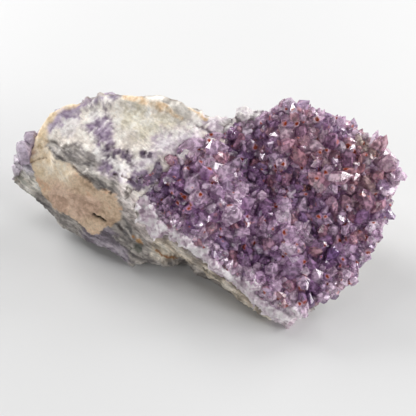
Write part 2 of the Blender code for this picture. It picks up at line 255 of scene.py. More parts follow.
rockLook = {
    "voxel": 0.5,                         # lengths, depths and places are in mm
    "acrossBeds": (0.58, 0.69, 0.42),     # the direction square to the beds
    "ridge": ((-33, 26.5, 44.5), (-25, 26, 45.5), (-14, 24.5, 45.5), (-5, 22.5, 44)),
    "leftEdge": ((-55.6, 20, 34), (-52.8, 23.5, 37.5), (-48.5, 26, 40), (-42, 26.5, 42)),
    "knobBase": ((-60.8, 13.8, 26.6, 4.2), (-37.8, 27.0, 43.0, 3.5)),
    "dip": ((-4.5, 25, 44.5, 4.5), (1, 24, 43.5, 4)),
    "ridgeHeight": 1.7,
    "leftEdgeHeight": 1.1,
    "knobHeight": 1.8,
    "dipDepth": 2.0,
    "blockDepth": 0.08,                   # this and the next two are shares of the chips' own height
    "ledgeDepth": 0.24,
    "crumbDepth": (0.08, 0.22),           # on the cap, and on the banded sides
    "crackWidth": 0.34,
    "crackDepth": 0.45,
    "faintCrackDepth": 0.15,
    "slitWidth": 0.62,
    "slitDepth": 0.9,
    "hollowDepth": 0.7,
    "gritDepth": 0.4,
    "seamDepth": 0.5,
    "underDruse": 1.9,                    # how far the rock rises into the root of the crust
    "crustReach": 1.1,                    # it does so where the crust is nearer than this
    "grainSize": 0.7,
    "fibreSize": 0.6,
    "roughness": (0.48, 0.88),            # waxy quartz, and the matt slab
    "bumpDepth": 0.2,
    "buffOutline": ((-57.5, 31.8), (-52, 33.2), (-47.2, 32.5), (-43.3, 32.7), (-40.8, 31.8), (-35.6, 29.7),
                    (-29.7, 28.7), (-28.7, 26.6), (-28.2, 24.3), (-27.2, 22.3), (-28.6, 19.6), (-30.0, 16.9),
                    (-31.8, 15.5), (-34.9, 13.9), (-38.4, 10.1), (-40.2, 9.7), (-42.8, 11.7), (-45.8, 13.6),
                    (-52.0, 14.9), (-56.2, 17.7), (-57.9, 22.0), (-58.6, 26.0)),
    "capOutline": ((-54.5, 19.0), (-52.0, 16.6), (-48.4, 15.0), (-44.1, 12.2), (-40.4, 10.2), (-36.5, 7.5),
                   (-35.1, 3.4), (-29.6, 0.6), (-25, -1), (-20, 1), (12, 14), (20, 30), (-20, 34), (-52, 30)),
}
rockPaint = {
    # each patch or strand with its hex codes from dark to light, in the order they lie over each other
    "leftEnd": {
        "patches": ((-67, 16, 22, 8), (-61, 12, 20.5, 6)),
        "codes": ("#a9a79c", "#dbd3c6", "#f8f4ec"),
    },
    "knobBase": {
        "patches": rockLook["knobBase"],
        "soft": 0.5,
        "codes": ("#a59daa", "#c6bec9", "#e4dde5"),
    },
    "violetGrey": {
        "patches": ((-38.6, -3.9, 7.8, 5), (-34.6, -5, 9.6, 4.5), (-32, -7, 6, 4.5), (-33.0, -4.5, 12.2, 3),
                    (-28.9, -9.5, 5.5, 4)),
        "codes": ("#6c626c", "#938894", "#bcb2bb"),
    },
    "underRim": {
        "route": ((-27, -1, 29), (-25, -4, 25.5), (-22, -7, 22), (-18.5, -10, 18.5), (-14, -12.5, 15.5)),
        "width": 3.8,
        "codes": ("#a89c97", "#cdc2bd", "#ebe2de"),
    },
    "rimFoot": {
        "route": ((-15, -12.5, 13), (-10, -13.5, 12.5), (-4, -16.5, 9), (1, -19, 8), (6, -22.5, 6.5),
                  (11, -26, 5), (19, -31, 3.5)),
        "width": 4.6,
        "codes": ("#94897c", "#b9ab99", "#d9ccb9", "#eee4d6"),
    },
    "tip": {
        "patches": ((27, -34, 3.5, 6.5), (23.5, -33.5, 3.0, 4)),
        "codes": ("#c9b2bf", "#e8d8e1", "#fbf3f7"),
    },
    "rusty": {
        "patches": ((-22.6, -9.7, 14.9, 1.5), (-24.6, -9, 15.6, 0.9), (-20, -10.4, 13.6, 0.9)),
        "codes": ("#a5703a", "#c79a66"),
    },
    # dark grey in a shallow hollow under the rim: painted shade in the recess
    "hollow": {
        "patches": ((-23.7, -10.6, 11.3, 2.2), (-26.0, -10.0, 11.0, 1.4)),
        "codes": ("#5d5f58", "#7b7a70"),
    },
    "rustLine": {
        "route": ((-17, -13.0, 13.4), (-14.6, -13.6, 11.6), (-12.5, -13.4, 9.9), (-9.5, -12.4, 8.0)),
        "width": 0.55,
        "codes": ("#8a5524", "#b98344"),
    },
    "grit": {
        "patches": ((-29.2, -5.7, 15.7, 1.1),),
        "codes": ("#4a3d3d", "#6a5c5a"),
    },
}
capPaint = {
    # the same for the cap
    "translucent": {
        "patches": ((-24, 24, 45, 4), (-9, 21, 44, 4), (-20, 27, 46, 4.5), (-12, 26, 46, 4.5),
                    (-5, 24, 45, 4)),
        "soft": 0.5,
        "codes": ("#b5aea6", "#d6cfc7", "#ebe5dd"),
    },
    "ridgeBack": {
        "patches": ((-21, 29, 45.5, 4.5), (-14, 28.5, 45.5, 4.5), (-7, 26.5, 44.5, 4)),
        "soft": 0.5,
        "codes": ("#8a837d", "#aaa39c", "#c4bdb6"),
    },
    "knobFoot": {
        "patches": ((-36.8, 26.8, 44.0, 3.6), (-34.2, 26.6, 45.2, 3.8), (-31.5, 26.5, 44.6, 3.0)),
        "soft": 0.4,
        "codes": ("#7a6c80", "#9a8da0", "#bcb0c0"),
    },
    "band": {
        "route": ((-43.5, 11.5, 35.5), (-40, 9.0, 35.2), (-37, 6.5, 35), (-34.8, 4.2, 34.6)),
        "width": 2.3,
        "codes": ("#7d7277", "#9a8f92", "#bab0b0"),
    },
    "cream": {
        "patches": ((-24.2, 18.7, 43, 5), (-18.7, 15.5, 41, 4.6), (-17.1, 13, 39.5, 3),
                    (-13.9, 17, 42.5, 3)),
        "soft": 0.5,
        "codes": ("#dcd2bd", "#efe7d5", "#fbf6e9"),
    },
    "snow": {
        "patches": ((-34.7, 8.8, 37, 3.2), (-31, 6, 36.4, 3.2), (-28, 3.8, 35, 3.2), (-24.5, 5.4, 35, 3),
                    (-21.5, 6.2, 34.5, 2.6), (-46, 20, 39, 4), (-37, 20.5, 41.5, 3), (-4, 17, 42, 3)),
        "codes": ("#d9d0ce", "#efe9e6", "#fbf8f5"),
    },
    "paleLilac": {
        "patches": ((-13.8, 11.4, 38.4, 4.4), (-10.6, 10.2, 36.9, 4.2), (-8, 12.6, 40, 3.6),
                    (-4.2, 12.4, 38.8, 4.4), (-18.6, 7.3, 35.3, 3), (2.3, 17.9, 41.1, 4), (8, 20, 42, 5),
                    (-21.9, 4.3, 32.3, 2.4), (-27.4, 1.4, 32.8, 2.2)),
        "soft": 0.6,
        "codes": ("#c4b4c0", "#e6dbe1", "#f5eef1"),
    },
    "lilacStrip": {
        "route": ((-51.8, 20.6, 36.9), (-50.5, 22.0, 38.3), (-48.6, 23.8, 39.8), (-46.4, 24.4, 40.7),
                  (-43.4, 25.0, 41.4)),
        "width": 3.0,
        "codes": ("#9c86a4", "#bba9c0", "#d3c6d6"),
    },
    "violet": {
        "patches": ((-37.6, 17.8, 40, 2.4), (-34.6, 18.8, 41, 2.8), (-32.4, 16, 40.7, 3.2),
                    (-33.8, 13.2, 39.7, 3.2), (-31.8, 11.6, 39, 2.4), (-36.0, 15.6, 40.6, 2.8),
                    (-42.5, 25.4, 41.8, 2), (-40, 25.6, 42.2, 2.2), (-32.8, 3.8, 34.5, 2.6),
                    (-30.6, 2.0, 33.6, 2), (-22.8, 3.4, 31.4, 2.4), (-20.5, 4.6, 31.6, 2.2)),
        "soft": 0.5,
        "codes": ("#84708a", "#a08ca4", "#c0b0c2"),
    },
    "dark": {
        "patches": ((-31.4, 9.6, 37.9, 2.5), (-29.4, 8.6, 37.9, 2.3), (-25.8, 7.4, 36.9, 2.5),
                    (-20.8, 8.3, 37.2, 1.5), (-18.8, 7.7, 36.8, 1.1)),
        "soft": 0.5,
        "codes": ("#55455a", "#7b6a7a", "#9d8f99"),
    },
    # dark purple along the join of the cap and the crust: partly deep violet, partly painted shade in the
    # crevice
    "druseFootShade": {
        "route": ((-23.5, 1.5, 31.0), (-21.3, 0.7, 29.0), (-19.4, 2.1, 29.8), (-17.1, 4.6, 31.8),
                  (-16.1, 6.0, 33.4)),
        "width": 2.0,
        "codes": ("#5d4a62", "#83708a", "#a896ac"),
    },
    "seam": {
        "route": ((-5.4, 18.0, 42.2), (-2.6, 15.7, 42.0), (0.8, 15.4, 39.6), (5.0, 15.0, 38.2)),
        "width": 0.6,
        "codes": ("#6f6269", "#91858b"),
    },
}
buffPaint = {
    "strap": ((-57.2, 15.5, 30.5), (-56.0, 16.6, 32.8), (-55.3, 18.6, 34.0), (-54.6, 21.6, 36.4),
              (-51.8, 25.0, 38.8), (-48.6, 27.2, 40.2), (-45.0, 27.8, 41.4)),
    "strapWidth": 3.2,
    "codes": ("#b99d83", "#d9bc9f", "#e8cfb3", "#e0ba9b"),
    "strapCodes": ("#cfb592", "#ead4b3", "#f6e5cb"),
    "light": ((-54, 13, 29.5, 7.5), (-48.5, 8.5, 30.5, 6.5)),
    "lightShare": 0.95,
    "lightCodes": ("#e2cba8", "#f7e4c8", "#fff5e3"),
    "pink": ((-49.2, 4.6, 20.5, 6), (-44, 1.5, 19, 6), (-38.5, -0.5, 23, 4)),
    "pinkShare": 0.5,
    "pinkCodes": ("#c9a694", "#e6c3b1", "#f0d2c2"),
    "peach": ((-26.7, 24.8, 45.2), (-22.7, 23.6, 45.5), (-18.1, 21.5, 45.6), (-13.6, 21.3, 44.5),
              (-8.7, 18.8, 42.9)),
    "peachWidth": 1.0,
    "peachSecond": ((-5.8, 20.6, 44.3), (-3.2, 20.2, 42.9), (-0.6, 19.0, 42.2)),
    "peachSecondWidth": 0.7,
    "peachCodes": ("#d4b592", "#f0dabd", "#f9ebd8"),
    "cracks": (((-44.6, 7.0, 32.9), (-43.3, 6.3, 32.5), (-40.5, 3.9, 32.0), (-38.0, 2.0, 30.5)),
               ((-34.6, 0.0, 29.9), (-32.5, -1.0, 29.6), (-31.0, -1.9, 29.2)),
               ((-30.2, 2.4, 34.1), (-27.4, 2.0, 33.5), (-25.1, 2.3, 31.4), (-23.5, 2.4, 31.0))),
    "faintCrack": ((-58.2, 14.3, 27.0), (-56.4, 13.8, 28.8), (-53.9, 13.0, 30.4), (-51.6, 11.2, 31.6),
                   (-49.5, 9.6, 31.9)),
    "slit": ((-37.9, -1.8, 18.5), (-36.0, -2.7, 17.9), (-34.3, -3.3, 16.9)),
    "crackCodes": ("#4d3a30", "#6a5040"),
    "faintCrackCodes": ("#7d5c42", "#9c7a5c"),
    # near black: painted shade inside the slit
    "slitShadowCodes": ("#120c0a", "#2a1a14"),
}
groundCodes = {
    "quartz": ("#6b6565", "#87807c", "#99928d", "#aea69f", "#c6beb7"),
    "hostRock": ("#a08a74", "#b8a48e"),
    "cap": ("#ddd2c8", "#eee4da", "#f8f0e6", "#fdf8f0"),
    "back": ("#857a6f", "#a2978a", "#bcb2a5"),
}


def paintOver(tint, mask, colours):
    # lays colours over the tint, in full where the mask is 1
    return tint * (1 - mask[:, None]) + colours * mask[:, None]


def paintAll(tint, paints, places, wobble, grain, limit):
    # lays each patch and strand over the tint; the masks come back by name
    masks = {}
    for name, paint in paints.items():
        if "route" in paint:
            mask = strandMask(places, paint["route"], paint["width"], wobble)
        else:
            mask = patchMask(places, paint["patches"], wobble, paint.get("soft", 0.28))
        mask = mask * limit * paint.get("share", 1.0)
        masks[name] = mask
        tint = paintOver(tint, mask, gradient(grain, paint["codes"]))
    return tint, masks


def underCrust(places, normals, reach):
    # 1 for places of the rock with the druse right above them
    tree = BVHTree.FromObject(frame["nodes"]["amethyst_druse"], bpy.context.evaluated_depsgraph_get())
    hits = [tree.ray_cast(Vector(p) * mm, Vector(n), reach * mm)[3] for p, n in zip(places, normals)]
    return np.array([0.0 if d is None else 1.0 for d in hits])


def makeRock(look):
    rock = pieceFrom("matrix_rock", "rockBody")
    remeshPiece(rock, look["voxel"])
    mesh = rock.data
    places, normals = vertexArrays(mesh)
    # noise in waves of 11, 3.6 and 1.1 mm, and streaks along the beds
    coarse, medium = noiseAt(places, 11.0, 1), noiseAt(places, 3.6, 2)
    fine = noiseAt(places, 1.1, 3, 2)
    bedPlaces = inBeds(places, look["acrossBeds"], coarse, medium)
    streaks = noiseAt(bedPlaces * (0.2, 0.3, 1.0), 1.2, 4, 4)
    grain = medium * 0.5 + fine * 0.75
    front = smoothStep(-normals[:, 1], 0.0, 0.4)
    behind = smoothStep(normals[:, 1], 0.15, 0.5)

    # where the buff slab and the cap show
    border = medium * 1.1 + fine * 0.5
    buff = regionMask(places[:, [0, 2]], look["buffOutline"], 0.35, border) * front
    strap = strandMask(places, buffPaint["strap"], buffPaint["strapWidth"], medium * 0.5)
    cap = regionMask(places[:, :2], look["capOutline"], 1.2, medium * 2.2)
    cap = cap * smoothStep(normals[:, 2], -0.1, 0.3)
    peach = np.maximum(strandMask(places, buffPaint["peach"], buffPaint["peachWidth"], medium * 0.35),
                       strandMask(places, buffPaint["peachSecond"], buffPaint["peachSecondWidth"],
                                  medium * 0.35))
    slab = np.maximum(buff, strap)
    width, ragged = look["crackWidth"], fine * 0.6
    crack = np.maximum.reduce([strandMask(places, route, width, ragged) for route in buffPaint["cracks"]])
    faintCrack = strandMask(places, buffPaint["faintCrack"], width, ragged)
    slit = strandMask(places, buffPaint["slit"], look["slitWidth"], fine * 0.2)

    # colours: the banded sides, then the cap, the back faces dimmed to grey-brown, partly broken rock and
    # partly painted shade against the bright back lights, and the slab with its cracks
    banding, border = streaks + fine * 0.2, medium * 0.55 + streaks * 0.3
    tint = gradient(banding, groundCodes["quartz"], -0.5, 0.5)
    tint = paintOver(tint, behind * smoothStep(coarse, -0.1, 0.2), gradient(grain, groundCodes["hostRock"]))
    tint, lowMasks = paintAll(tint, rockPaint, places, border, streaks, 1 - buff)
    tint = paintOver(tint, cap, gradient(coarse * 0.6 + grain * 0.8, groundCodes["cap"]))
    border = medium * 0.6 + fine * 0.35
    tint, capMasks = paintAll(tint, capPaint, places, border, grain, np.maximum(cap, 0.15))
    # the back faces dimmed to grey-brown: partly broken rock, partly painted shade against the bright back
    # lights
    tint = paintOver(tint, behind * 0.85, gradient(banding, groundCodes["back"]))
    tint = paintOver(tint, slab, gradient(coarse * 0.5 + medium * 0.45 + fine * 0.3, buffPaint["codes"]))
    tint = paintOver(tint, strap * (1 - buff), gradient(grain, buffPaint["strapCodes"]))
    mottled = coarse * 0.4 + medium * 0.4 + fine * 0.3
    for area in ("light", "pink"):
        mask = patchMask(places, buffPaint[area], medium * 0.5) * buff * buffPaint[area + "Share"]
        tint = paintOver(tint, mask, gradient(mottled, buffPaint[area + "Codes"]))
    tint = paintOver(tint, peach, gradient(grain, buffPaint["peachCodes"]))
    tint = paintOver(tint, crack * 0.75, gradient(grain, buffPaint["crackCodes"]))
    tint = paintOver(tint, faintCrack * 0.6, gradient(grain, buffPaint["faintCrackCodes"]))
    # the slit painted near black: painted shade inside it
    tint = paintOver(tint, slit, gradient(grain, buffPaint["slitShadowCodes"]))
    storeTint(mesh, tint)
    storeValue(mesh, "matt", slab + behind * 0.5 + cap * (1 - slab) * 0.45)
    storeValue(mesh, "banded", 1 - cap * 0.5 - slab)

    # relief along the normal, in mm: less of it on the slab and the cap, and finer
    blocks, crumbs = chipsAt(places, 4.6, 1), chipsAt(places, 1.4, 2)
    ledges = chipsAt(bedPlaces * (0.35, 0.45, 1.3), 1.7, 3)
    banded = np.clip(1 - cap - slab, 0, 1)
    capCrumbs, sideCrumbs = look["crumbDepth"]
    rise = coarse * 0.5 * (1 - 0.4 * cap) + medium * 0.2 * (1 - 0.5 * slab - 0.5 * cap) + fine * 0.12
    rise += blocks * look["blockDepth"] * (1 - 0.8 * slab - 0.8 * cap)
    rise += ledges * look["ledgeDepth"] * banded * (1 - behind * 0.3)
    rise += crumbs * (capCrumbs * cap + sideCrumbs * banded)
    rise += capMasks["dark"] * (0.5 + crumbs * 0.6) + capMasks["violet"] * crumbs * 0.25
    rise -= capMasks["seam"] * look["seamDepth"]
    rise += strandMask(places, look["ridge"], 4.0, medium * 0.3) * look["ridgeHeight"]
    rise += strandMask(places, look["leftEdge"], 3.6, medium * 0.3) * look["leftEdgeHeight"]
    rise += patchMask(places, look["knobBase"], medium * 0.3, 0.5) * look["knobHeight"]
    rise -= patchMask(places, look["dip"], medium * 0.3) * look["dipDepth"]
    rise -= crack * look["crackDepth"] + faintCrack * look["faintCrackDepth"]
    rise -= lowMasks["hollow"] * look["hollowDepth"] + lowMasks["grit"] * look["gritDepth"]
    # none on the flat resting face
    rise *= smoothStep(places[:, 2], 0.0, 1.4) * (0.2 + 0.8 * smoothStep(normals[:, 2], -0.95, -0.7))
    rise -= slit * look["slitDepth"]
    covered = underCrust(places, normals, look["crustReach"])
    rise = rise * (1 - covered) + look["underDruse"] * covered
    moved = places + normals * rise[:, None]
    moved[:, 2] = np.maximum(moved[:, 2], 0.0)
    moveVertices(mesh, moved)
    mesh.shade_smooth()
    return rock


def rockMaterial(look):
    # vein quartz: cloudy white to grey, rough where it is broken, waxy on its facets; the buff slab is matt
    material, tree = newMaterial("veinQuartzAndBuffSlab")
    tint, banded, grain, fibres = stonePattern(tree, look["acrossBeds"], look["grainSize"], look["fibreSize"])
    matt = addNode(tree, "ShaderNodeAttribute", attribute_name="matt").outputs["Fac"]
    fibres = addNode(tree, "ShaderNodeMapRange", {0: fibres, 1: 0.36, 2: 0.64, 3: 0.18, 4: 0.8}).outputs[0]
    streaky = addNode(tree, "ShaderNodeMath", {0: banded, 1: 0.65}, operation="MULTIPLY").outputs[0]
    grain = addNode(tree, "ShaderNodeMix", {0: streaky, 2: grain, 3: fibres}).outputs[0]
    calm = addNode(tree, "ShaderNodeMath", {0: matt, 1: 0.45}, operation="MULTIPLY").outputs[0]
    grain = addNode(tree, "ShaderNodeMix", {0: calm, 2: grain, 3: 0.5}).outputs[0]
    shade = addNode(tree, "ShaderNodeMapRange", {0: grain, 1: 0.3, 2: 0.7, 3: 0.68, 4: 1.26}).outputs[0]
    speckled = addNode(tree, "ShaderNodeVectorMath", {0: tint, "Scale": shade}, operation="SCALE").outputs[0]
    waxy, rough = look["roughness"]
    roughness = addNode(tree, "ShaderNodeMapRange", {0: matt, 1: 0.0, 2: 1.0, 3: waxy, 4: rough}).outputs[0]
    bumpDepth = look["bumpDepth"] * mm
    bump = addNode(tree, "ShaderNodeBump", {"Strength": 0.7, "Distance": bumpDepth, "Height": grain})
    shader = addNode(tree, "ShaderNodeBsdfPrincipled", {
        "Base Color": speckled, "Roughness": roughness, "IOR": 1.54, "Normal": bump.outputs[0],
    })
    addNode(tree, "ShaderNodeOutputMaterial", {"Surface": shader.outputs[0]})
    return material


rock = makeRock(rockLook)
rock.data.materials.append(rockMaterial(rockLook))
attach(rock, "root")
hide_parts("matrix_rock")
print("rock body:", len(rock.data.polygons), "faces")


# The druse: a milky root, which shows along the broken rim, and clear points that stand in it

druseLook = {
    "voxel": 0.5,                         # lengths, depths and places are in mm
    "smoothing": 24,                      # passes that take the CAD points off the root
    "faces": (-0.03, -0.57, 0.82),        # the way the crust faces
    "sink": 0.9,                          # the root's surface below the level of the CAD points
    "splinterDepth": 0.42,                # on the broken rim
    "seed": 21,
    # lowest, highest and usual radius, and tries
    "sizes": ((1.7, 3.2, 2.1, 900), (0.9, 2.0, 1.2, 9000), (0.5, 1.0, 0.7, 14000)),
    "spacing": 0.6,                       # least distance of two points, as a share of their two radii
    "lean": 0.42,                         # how far a point leans at random
    "upright": 0.32,                      # how far it turns up from the root's surface
    "largeUpright": 0.3,                  # the same for the large points
    "stout": 1.15,                        # height of the points against that of ideal quartz
    "seated": 1.0,                        # share of the way from a large point's place down to the root
    "rimGap": (0.6, 1.9),                 # bare edge at the rim: at least, and for each mm of radius
    "flankGap": 1.2,                      # at the flank, for each mm of radius of points over flankRadius
    "flankRadius": 1.9,
    "rimFade": 7.0,                       # how far in from the rim the crystals are paler
    "flankFade": 3.5,
    # large points at their places: x, y, z, radius, and how pale
    "large": ((7.6, -9.2, 27, 3.6, 0.75), (57, 5.4, 35.5, 3.1, 0.9), (-4.2, 11.6, 38, 2.6, 0.9),
              (20.3, -21.7, 15.3, 2.8, 0.45), (-1.0, -8.5, 26.7, 2.4, 0.35), (45.0, -16.9, 19.4, 2.6, 0.5),
              (38.9, 10.7, 40.5, 2.6, 0.5), (29.5, 14.1, 41.5, 2.4, 0.45), (26.5, 22.0, 45.5, 2.6, 0.4)),
    # areas of paler and of darker points: x, y, z, radius; the pale ones are partly paler crystals and partly
    # painted light on the humps, the dark ones partly deeper colour and partly painted shade in the valleys
    "pale": ((0.6, 7.7, 34.9, 4.5), (5.5, 5.1, 33, 5), (8.6, -2, 31.3, 5), (24.6, -7.4, 25.3, 4.5),
             (29.4, -12, 20.9, 5), (25.8, -18, 20.8, 4.5), (-4.2, 12.4, 38.8, 6), (1, 14, 39, 4.5),
             (57.5, 5.7, 36.1, 5), (51.9, 9.7, 38.3, 4.5), (13, 20.5, 43.5, 5.5), (30, 18, 44, 5),
             (59, -3, 31, 4), (40, -26, 13, 4), (24.5, -31.5, 10, 6), (33, 13, 41.5, 5.5), (24, 13, 41, 4.5)),
    "dark": ((5.5, 15, 36.6, 3.6), (8.8, 12.5, 34.5, 3.6), (12, 8.3, 31.9, 4), (17.6, 5.1, 29.1, 4.5),
             (24.7, 1, 30.3, 3.2), (30.9, -2.1, 30, 2.8), (33, -7, 25.5, 4), (35.2, -11.9, 20.7, 3.6),
             (37.2, -17.6, 17.6, 3.6), (-17.1, 0.9, 28, 5), (-13.7, -4.8, 27.2, 5.5), (-8.9, -4.6, 29.5, 4.5),
             (-7.3, -9.1, 24.9, 4.5), (8.7, -14, 18.2, 4), (13.4, -16.8, 16.7, 4), (18, -18.8, 16.6, 3),
             (31, -28, 11, 4)),
    "rusty": ((35, 8, 38, 22),),
    "rustyShare": (0.1, 0.2),             # how many crystals are rusty: all over, and more at that patch
    # places stained brown, cream or amber: x, y, z, radius, how much, and the colour
    "stained": ((30, 12, 41, 9, 0.3, "#e6b8b0"), (52, 5, 35, 8, 0.4, "#cba292"),
                (48, -2, 31, 7, 0.4, "#cba292"), (40, 6, 38, 6, 0.4, "#cba292"),
                (49.4, 11.3, 39.4, 2.8, 0.9, "#fbeedc"), (52.5, 8.6, 37.6, 2.8, 0.9, "#fbeedc"),
                (51.5, 5.5, 37.8, 2.2, 0.9, "#fbeedc"), (31.8, -1.5, 31, 2.2, 0.85, "#8a4a1c")),
    # no points on the pale edge at the back and on the front tip: x, y, z, radius
    "bare": ((11.5, 22.5, 44.0, 5.6), (15.5, 22.5, 44.8, 4.2), (2.5, 19.0, 41.5, 5.2), (6.5, 20.0, 42.0, 4.0),
             (26.5, -34.5, 6.5, 4.6)),
    # the broken front rim and the right flank on plan: the druse is on the right of each
    "rim": ((27, -36), (18, -31.6), (13.4, -28.6), (8.7, -24.5), (3.8, -21.9), (-1, -18.8), (-5.1, -16.5),
            (-9, -14), (-12.2, -12), (-15.3, -10.8), (-17.5, -7), (-20.3, -2.8), (-23.5, 0.8), (-27, 2)),
    "flank": ((22, 20.5), (30, 19.5), (39, 17), (47, 13), (55.5, 10.5), (60.5, 7), (58.5, -2), (55, -11),
              (49.5, -19), (42, -25.5), (34, -30.5), (27, -36)),
    "rimDepth": (1.4, 3.0),               # how far in the rim is broken: on its top, and on its face
    "flankDepth": 2.0,
}
amethystCodes = {
    "tones": ("#b487b8", "#c8a0c8", "#dab7d9", "#e8cbe5", "#eed0e2"),
    # pale also gives the painted highlight on the tips and the painted light on the humps; dark also gives
    # the painted shade in the valleys and at the points' feet
    "pale": "#fce4f7",
    "dark": "#a078a6",
    "clear": "#f7e9f5",
    "deep": "#6d4d94",
    "rusty": "#d8999c",
}
druseRootPaint = {
    # the root's patches below the crystals; pale on the humps is partly painted light, dark in the valleys is
    # partly painted shade
    "pale": {
        "patches": druseLook["pale"],
        "share": 0.8,
        "codes": ("#c4aec6", "#e2d4e0"),
    },
    "dark": {
        "patches": druseLook["dark"],
        "share": 0.8,
        "codes": ("#5a4260", "#80648a"),
    },
    "backEdge": {
        "patches": ((11.5, 22, 44.5, 7.5), (16, 22.5, 45, 5.5), (4, 18.8, 41.5, 6)),
        "codes": ("#b5a8b0", "#ddd5d6", "#f2eeea"),
    },
    "tip": {
        "patches": ((26.5, -34.5, 6.0, 7.5),),
        "codes": ("#d2b8c8", "#ecdae5", "#fdf5fa"),
    },
}
druseRimPaint = {
    # and those that lie over its broken rim
    "whiteFront": {
        "patches": ((10, -26, 7, 6), (16.5, -30, 5, 6)),
        "share": 0.8,
        "codes": ("#cfbbc8", "#eddfe8", "#fdf6fa"),
    },
    "greyCorner": {
        "patches": ((-26.8, -1.4, 29.5, 2.5), (-25.8, -3.8, 27, 2.5), (-24, -6.6, 24.2, 2.2)),
        "codes": ("#958b83", "#b5aca3", "#d2cac1"),
    },
    # dark purple along the join of the cap and the crust: partly deep violet, partly painted shade in the
    # crevice
    "creviceShade": {
        "route": ((-27.4, 2.0, 33.0), (-25.1, 2.0, 31.4), (-23.2, 1.4, 31.0), (-21.3, 0.7, 28.4),
                  (-19.4, 2.1, 29.1), (-17.1, 4.6, 31.1), (-16.1, 6.0, 32.9)),
        "width": 1.6,
        "codes": ("#5d4a62", "#8d7694"),
    },
}
druseRootCodes = ("#86688a", "#ab8cab", "#cfb9ce")
paleEdgeCodes = ("#c2aec4", "#e6d8e4", "#faf3f8")
brokenRimCodes = ("#b39aac", "#dac6d3", "#efe3ea", "#fcf6f8")
amethystFinish = {
    "absorb": "#b47fbb",
    "density": 36.0,
    "glassy": (0.35, 0.8),                # transmission where it is cloudy, and where it is clear
    "roughness": 0.08,
    "rust": ("#ac6656", "#8a341c"),       # halo and core of a fleck
}
# one crystal of quartz, for all the points
pointShape = {
    "angle": math.radians(38.2),          # a point's face against the crystal's axis
    "foot": (0.8, 0.7),                   # mm below the root's surface: at least, and for each mm of radius
    "taper": 0.96,                        # foot's radius against the shoulder's
    "broad": (1.0, 1.3),                  # how far the prism is flattened
    "twist": math.radians(10),            # makes three sides wide and three narrow
    "tall": (0.85, 1.25),
    "offMiddle": (0.3, 0.2),              # spread of the tip, as shares of the radius
    "shoulders": (0.02, 0.05, 0.1, 0.2, 0.4, 0.8),
    "shoulderRange": (0.6, 1.2),
    "largeShoulder": 0.55,
}


def sideOf(route, x, y):
    # signed distance in mm from a route on plan, positive on the side away from the druse
    nearest, side = 1e9, 1.0
    spot = Vector((x, y))
    for start, end in zip(route, route[1:]):
        a, b = Vector(start), Vector(end)
        along = min(1.0, max(0.0, (spot - a).dot(b - a) / (b - a).length_squared))
        offset = spot - a.lerp(b, along)
        if offset.length < nearest:
            nearest = offset.length
            side = 1.0 if (b - a).x * offset.y - (b - a).y * offset.x > 0 else -1.0
    return nearest * side


def makeRoot(nodeName, name, look, isRim, tintFor):
    # the crust's massive root: the CAD solid with its points smoothed away and its level drawn in
    root = pieceFrom(nodeName, name)
    remeshPiece(root, look["voxel"])
    places, normals = vertexArrays(root.data)
    group = root.vertex_groups.new(name="points")
    for index, (place, normal) in enumerate(zip(places, normals)):
        group.add([index], 0.0 if isRim(Vector(place), Vector(normal)) else 1.0, "REPLACE")
    modifier = root.modifiers.new("Smooth", "SMOOTH")
    modifier.factor = 0.5
    modifier.iterations = look["smoothing"]
    modifier.vertex_group = "points"
    applyModifiers(root)
    mesh = root.data
    places, normals = vertexArrays(mesh)
    rim = np.array([isRim(Vector(p), Vector(n)) for p, n in zip(places, normals)], float)
    up = smoothStep(normals @ np.array(look["faces"]), 0.2, 0.6) * (1 - rim)
    coarse, medium, fine = noiseAt(places, 11.0, 1), noiseAt(places, 3.5, 5), noiseAt(places, 1.0, 6, 2)
    bedPlaces = inBeds(places, look["faces"], coarse * 0.5, medium)
    streaks = noiseAt(bedPlaces * (0.25, 0.3, 1.2), 1.3, 7, 4)
    splinters = chipsAt(places, 1.2, 4) + chipsAt(bedPlaces * (0.4, 0.5, 1.3), 1.8, 5) * 0.7
    rise = medium * 0.3 + fine * 0.1 + splinters * look["splinterDepth"] * rim - up * look["sink"]
    moved = places + normals * rise[:, None]
    moved[:, 2] = np.maximum(moved[:, 2], 0.0)
    moveVertices(mesh, moved)
    storeTint(mesh, tintFor(places, rim, medium, fine, streaks))
    storeValue(mesh, "banded", rim * 0.6)
    mesh.shade_smooth()
    print(name, len(mesh.polygons), "faces")
    return root


def druseTint(places, rim, medium, fine, streaks):
    grain = medium * 0.5 + fine * 0.7
    tint = gradient(grain, druseRootCodes)
    tint = paintAll(tint, druseRootPaint, places, medium * 0.4, grain, 1.0)[0]
    paleEdge = strandMask(places[:, :2], druseLook["rim"], druseLook["rimFade"], medium * 0.5) * 0.8
    tint = paintOver(tint, paleEdge, gradient(grain, paleEdgeCodes))
    tint = paintOver(tint, rim, gradient(streaks + fine * 0.5, brokenRimCodes, -0.5, 0.35))
    return paintAll(tint, druseRimPaint, places, medium * 0.4, grain, 1.0)[0]


